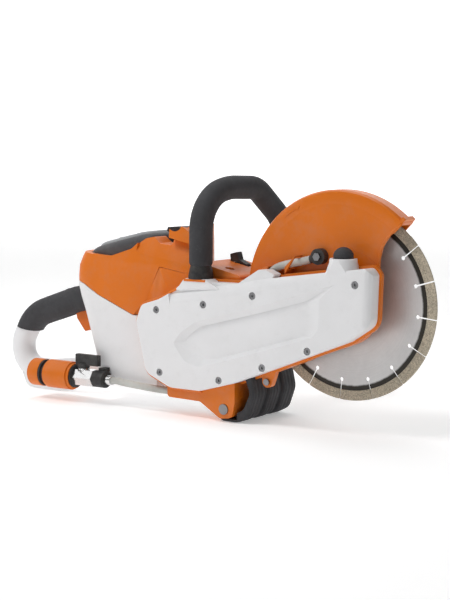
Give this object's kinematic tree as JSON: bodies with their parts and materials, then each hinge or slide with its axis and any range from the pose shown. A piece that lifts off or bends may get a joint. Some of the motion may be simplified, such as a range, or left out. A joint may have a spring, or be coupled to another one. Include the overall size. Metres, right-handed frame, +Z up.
{
  "type": "battery cut-off saw",
  "caption": "Battery cut-off saw: a belt-driven diamond wheel on an arm under a turning guard, with a loop handle, a rear handle with trigger and a water feed.",
  "frame": {"origin": "middle of the bounding box in X and Y, on the surface that the saw stands on", "axes": "+X forward towards the cutting wheel, +Y to the user's left, +Z up"},
  "size_m": [0.6624, 0.1971, 0.2975],
  "materials": {
    "orange_metal": "satin paint",
    "orange_plastic": "fine grain",
    "trigger_orange": "fine grain",
    "white_plastic": "fine grain",
    "black_plastic": "fine grain",
    "grip_rubber": "soft",
    "belt_rubber": "ribbed",
    "battery_grey": "fine grain",
    "battery_silver": "satin",
    "wheel_steel": "turned",
    "wheel_segment": "gritty sintered metal",
    "dark_steel": "blackened",
    "steel": "turned",
    "screw_steel": "zinc plated",
    "bearing_plastic": "smooth",
    "chrome": "plated",
    "aluminium": "plain",
    "hose_grey": "smooth"
  },
  "bodies": {
    "machine": {"arm_frame": "orange_metal", "belt_cover": "white_plastic", "cover_screws": "screw_steel", "spindle_bearings": "steel", "drive_belt": "belt_rubber", "idler_pin": "steel", "housing_right": "white_plastic", "housing_left": "white_plastic", "housing_screws": "screw_steel", "battery_casing": "orange_plastic", "deck_cover": "orange_plastic", "motor_stator": "dark_steel", "controller": "aluminium", "contact_block": "black_plastic", "latch_pin": "steel", "loop_tube": "aluminium", "loop_grip": "grip_rubber", "loop_feet": "black_plastic", "rear_handle": "white_plastic", "rear_grip": "grip_rubber", "handle_pins": "steel", "trigger_switch": "black_plastic", "valve_body": "chrome", "coupling_core": "black_plastic", "coupling_nut": "orange_plastic", "inlet_hose": "hose_grey", "union_nut": "black_plastic", "hose_ferrule": "chrome", "hose_clip": "black_plastic", "support_foot": "grip_rubber", "foot_bolts": "screw_steel", "guard_lever_pin": "steel", "water_hose": "hose_grey", "lock_spring": "steel"},
    "cutting_wheel": {"wheel_core": "wheel_steel", "wheel_segments": "wheel_segment", "spindle": "steel", "inner_flange": "dark_steel", "outer_flange": "dark_steel", "clamp_bolt": "dark_steel", "wheel_pulley": "dark_steel"},
    "motor_shaft": {"motor_rotor": "steel", "motor_pulley": "dark_steel", "cooling_fan": "black_plastic"},
    "idler": {"belt_idler": "steel"},
    "guard": {"guard_shell": "orange_metal", "guard_bearing_ring": "bearing_plastic", "spray_nozzles": "black_plastic", "hose_banjo": "black_plastic", "banjo_bolt": "screw_steel"},
    "guard_lever": {"guard_lock_lever": "black_plastic"},
    "switch_trigger": {"trigger": "trigger_orange"},
    "lockout": {"lockout_lever": "black_plastic"},
    "water_lever": {"valve_lever": "black_plastic"},
    "sleeve": {"coupling_sleeve": "orange_plastic"},
    "battery": {"battery_pack": "battery_grey", "battery_top": "battery_silver"},
    "charge_key": {"charge_button": "black_plastic"},
    "latch": {"battery_latch": "black_plastic"},
    "lock_button": {"spindle_lock_button": "grip_rubber"}
  },
  "joints": [
    {"name": "wheel_spin", "type": "hinge", "parent": "machine", "child": "cutting_wheel", "pos_m": [0.21625, -0.03514, 0.15], "axis": [0, 1, 0], "continuous": true},
    {"name": "motor_spin", "type": "hinge", "parent": "machine", "child": "motor_shaft", "pos_m": [0.02125, -0.03514, 0.1], "axis": [0, 1, 0], "continuous": true},
    {"name": "idler_spin", "type": "hinge", "parent": "machine", "child": "idler", "pos_m": [0.11728, -0.07514, 0.11147], "axis": [0, 1, 0], "continuous": true},
    {"name": "guard_turn", "type": "hinge", "parent": "machine", "child": "guard", "pos_m": [0.21625, -0.05014, 0.15], "axis": [0, 1, 0], "range_deg": [-10, 30], "deforming": ["water_hose"]},
    {"name": "guard_lever_hinge", "type": "hinge", "parent": "machine", "child": "guard_lever", "pos_m": [0.03025, 0.00286, 0.187], "axis": [0, 1, 0], "range_deg": [0, 30]},
    {"name": "trigger_pull", "type": "hinge", "parent": "machine", "child": "switch_trigger", "pos_m": [-0.18575, -0.02114, 0.126], "axis": [0, 1, 0], "range_deg": [0, 12], "stiffness_Nm_per_rad": 0.25, "springref_deg": -14.32},
    {"name": "lockout_press", "type": "hinge", "parent": "machine", "child": "lockout", "pos_m": [-0.25575, -0.02114, 0.114], "axis": [0, 1, 0], "range_deg": [0, 6], "stiffness_Nm_per_rad": 0.25, "springref_deg": -14.32},
    {"name": "water_valve_turn", "type": "hinge", "parent": "machine", "child": "water_lever", "pos_m": [-0.15675, -0.08014, 0.034], "axis": [0, 0, 1], "range_deg": [-90, 0]},
    {"name": "sleeve_slide", "type": "slide", "parent": "machine", "child": "sleeve", "axis": [1, 0, 0], "range_m": [-0.005, 0], "stiffness_N_per_m": 300, "springref_m": 0.004},
    {"name": "battery_slide", "type": "slide", "parent": "machine", "child": "battery", "axis": [-0.2419, 0, 0.9703], "range_m": [0, 0.12]},
    {"name": "charge_key_press", "type": "slide", "parent": "battery", "child": "charge_key", "axis": [-0.2419, 0, 0.9703], "range_m": [-0.001, 0], "stiffness_N_per_m": 300, "springref_m": 0.001},
    {"name": "latch_release", "type": "hinge", "parent": "machine", "child": "latch", "pos_m": [-0.03775, -0.02214, 0.212], "axis": [0, 1, 0], "range_deg": [0, 15], "stiffness_Nm_per_rad": 0.1, "springref_deg": -17.19},
    {"name": "spindle_lock_press", "type": "slide", "parent": "machine", "child": "lock_button", "axis": [0, 0, 1], "range_m": [-0.006, 0], "stiffness_N_per_m": 300, "springref_m": 0.004, "deforming": ["lock_spring"]}
  ],
  "couplings": [
    {"joint": "motor_spin", "follows": "wheel_spin", "ratio": 1.75},
    {"joint": "idler_spin", "follows": "wheel_spin", "ratio": 3.1111}
  ]
}
